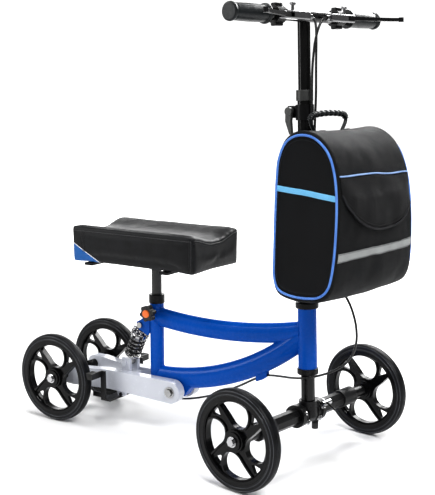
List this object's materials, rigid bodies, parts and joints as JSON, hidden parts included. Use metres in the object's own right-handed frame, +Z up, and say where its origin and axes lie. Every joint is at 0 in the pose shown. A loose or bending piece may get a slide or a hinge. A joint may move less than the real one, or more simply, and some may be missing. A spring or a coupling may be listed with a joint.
{
  "type": "knee scooter",
  "caption": "Steerable knee scooter with a sprung rear swingarm, padded knee seat, folding stem, hand brake levers and a front storage bag.",
  "frame": {"origin": "on the ground under the middle of the whole scooter's outline box, from above", "axes": "+X forward along the frame, +Y to the rider's left, +Z up; the front end rests turned about 8.5 degrees to the right"},
  "size_m": [0.8695, 0.4758, 0.9105],
  "materials": {
    "blue_paint": "gloss powder coat",
    "white_paint": "gloss powder coat",
    "black_paint": "gloss powder coat",
    "satin_black": "satin powder coat",
    "grey_paint": "satin dark grey coat",
    "chrome": "bright plated",
    "zinc": "satin zinc plated",
    "black_steel": "matt black coated steel",
    "lever_alloy": "satin cast alloy",
    "spring_black": "semi-gloss black coated spring steel",
    "tyre": "solid polyurethane with fine grooves",
    "rim_plastic": "moulded, satin",
    "collar_plastic": "moulded, satin",
    "knob_plastic": "moulded, fine texture",
    "orange_plastic": "moulded, gloss",
    "brake_pad": "matt friction rubber",
    "grip_rubber": "soft, fine texture",
    "cable_black": "smooth outer casing",
    "pad_leather": "grained synthetic leather, black with one blue corner",
    "bag_fabric": "woven nylon"
  },
  "bodies": {
    "frame": {"head_tube": "blue_paint", "upper_frame_tube": "blue_paint", "lower_frame_tube": "blue_paint", "seat_tube": "blue_paint", "seat_tube_collar": "satin_black", "pivot_shell": "blue_paint", "cable_guide": "blue_paint", "headset_cups": "satin_black", "pivot_bolts": "zinc", "brake_cable_loop": "cable_black", "brake_cable_rear": "cable_black"},
    "steering": {"steerer_tube": "black_paint", "front_axle": "satin_black", "front_axle_collars": "collar_plastic", "front_axle_clamp": "satin_black", "axle_clamp_bolts": "chrome", "front_hub_bolts": "chrome", "fold_yoke": "satin_black"},
    "stem": {"fold_knuckle": "satin_black", "stem_outer_tube": "black_paint", "stem_collar": "grey_paint", "height_clamp": "satin_black", "storage_bag": "bag_fabric", "bag_handle": "grip_rubber", "cable_joiner": "grey_paint", "brake_cable_stem": "cable_black"},
    "handlebar": {"stem_inner_tube": "black_paint", "handlebar": "black_paint", "handlebar_grips": "grip_rubber", "lever_clamps": "satin_black", "lever_perches": "lever_alloy", "brake_cables_upper": "cable_black"},
    "brake_lever_left": {"brake_lever_left": "satin_black"},
    "brake_lever_right": {"brake_lever_right": "satin_black"},
    "fold_latch": {"fold_latch_lever": "grey_paint"},
    "height_lever": {"height_clamp_lever": "grey_paint"},
    "axle_pin": {"axle_release_pin": "knob_plastic"},
    "seat_knob": {"seat_knob": "knob_plastic", "seat_knob_cap": "orange_plastic"},
    "seat": {"seat_post": "grey_paint", "seat_plate": "satin_black", "knee_pad": "pad_leather"},
    "swingarm": {"swingarm_right": "white_paint", "swingarm_left": "white_paint", "swingarm_bridge": "white_paint", "rear_axle": "black_paint", "rear_hub_bolts": "chrome"},
    "shock_upper": {"shock_body": "lever_alloy", "shock_spring": "spring_black"},
    "shock_lower": {"shock_rod": "zinc"},
    "brake": {"brake_yoke": "black_steel", "brake_shoes": "brake_pad"},
    "rear_left_wheel": {"rear_left_tyre": "tyre", "rear_left_rim": "rim_plastic"},
    "rear_right_wheel": {"rear_right_tyre": "tyre", "rear_right_rim": "rim_plastic"},
    "front_left_wheel": {"front_left_tyre": "tyre", "front_left_rim": "rim_plastic"},
    "front_right_wheel": {"front_right_tyre": "tyre", "front_right_rim": "rim_plastic"}
  },
  "joints": [
    {"name": "steering", "type": "hinge", "parent": "frame", "child": "steering", "pos_m": [0.268, 0, 0], "axis": [-0.0293, 0, 0.9996], "range_deg": [-36.5, 53.5], "deforming": ["brake_cable_loop"]},
    {"name": "stem_fold", "type": "hinge", "parent": "steering", "child": "stem", "pos_m": [0.24555, 0.00177, 0.3605], "axis": [0.1474, 0.9891, 0.0043], "range_deg": [-50, 0], "deforming": ["brake_cable_stem"]},
    {"name": "handlebar_height", "type": "slide", "parent": "stem", "child": "handlebar", "axis": [-0.0293, 0, 0.9996], "range_m": [-0.1, 0.08], "deforming": ["brake_cables_upper"]},
    {"name": "brake_lever_left", "type": "hinge", "parent": "handlebar", "child": "brake_lever_left", "pos_m": [0.29312, 0.09448, 0.88972], "axis": [-0.0293, 0, 0.9996], "range_deg": [0, 18], "stiffness_Nm_per_rad": 0.6, "springref_deg": -20.05},
    {"name": "brake_lever_right", "type": "hinge", "parent": "handlebar", "child": "brake_lever_right", "pos_m": [0.26334, -0.10531, 0.88885], "axis": [0.0293, 0, -0.9996], "range_deg": [0, 18]},
    {"name": "fold_latch", "type": "hinge", "parent": "steering", "child": "fold_latch", "pos_m": [0.26858, -0.00162, 0.35117], "axis": [0.1474, 0.9891, 0.0043], "range_deg": [0, 90]},
    {"name": "height_lever", "type": "hinge", "parent": "stem", "child": "height_lever", "pos_m": [0.22052, 0.00398, 0.70791], "axis": [0.1474, 0.9891, 0.0043], "range_deg": [0, 110]},
    {"name": "axle_pin", "type": "slide", "parent": "steering", "child": "axle_pin", "axis": [0, 0, -1], "range_m": [0, 0.006], "stiffness_N_per_m": 500, "springref_m": -0.004},
    {"name": "seat_knob", "type": "hinge", "parent": "frame", "child": "seat_knob", "pos_m": [-0.117, 0, 0.265], "axis": [0, 1, 0], "continuous": true},
    {"name": "seat_height", "type": "slide", "parent": "frame", "child": "seat", "axis": [0, 0, 1], "range_m": [-0.055, 0.07]},
    {"name": "swingarm", "type": "hinge", "parent": "frame", "child": "swingarm", "pos_m": [-0.0553, 0, 0.0973], "axis": [0, 1, 0], "range_deg": [0, 3.5], "stiffness_Nm_per_rad": 3000, "springref_deg": -0.57, "deforming": ["brake_cable_rear"]},
    {"name": "shock_swing", "type": "hinge", "parent": "frame", "child": "shock_upper", "pos_m": [-0.154, 0, 0.23], "axis": [0, 1, 0], "range_deg": [0, 0.65]},
    {"name": "shock_travel", "type": "slide", "parent": "shock_upper", "child": "shock_lower", "axis": [0.4034, 0, 0.915], "range_m": [0, 0.009], "deforming": ["shock_spring"]},
    {"name": "rear_brake", "type": "hinge", "parent": "swingarm", "child": "brake", "pos_m": [-0.195, 0, 0.068], "axis": [0, -1, 0], "range_deg": [0, 2.2], "stiffness_Nm_per_rad": 10, "springref_deg": -2.86},
    {"name": "rear_left_wheel", "type": "hinge", "parent": "swingarm", "child": "rear_left_wheel", "pos_m": [-0.337, 0.093, 0.1], "axis": [0, 1, 0], "continuous": true},
    {"name": "rear_right_wheel", "type": "hinge", "parent": "swingarm", "child": "rear_right_wheel", "pos_m": [-0.337, -0.093, 0.1], "axis": [0, 1, 0], "continuous": true},
    {"name": "front_left_wheel", "type": "hinge", "parent": "steering", "child": "front_left_wheel", "pos_m": [0.29141, 0.2133, 0.1], "axis": [0.1475, 0.9891, 0], "continuous": true},
    {"name": "front_right_wheel", "type": "hinge", "parent": "steering", "child": "front_right_wheel", "pos_m": [0.22804, -0.2117, 0.1], "axis": [0.1475, 0.9891, 0], "continuous": true}
  ],
  "couplings": [
    {"joint": "brake_lever_right", "follows": "rear_brake", "ratio": 8.18},
    {"joint": "shock_swing", "follows": "swingarm", "ratio": 0.183},
    {"joint": "shock_travel", "follows": "swingarm", "m_per_rad": 0.1441}
  ]
}
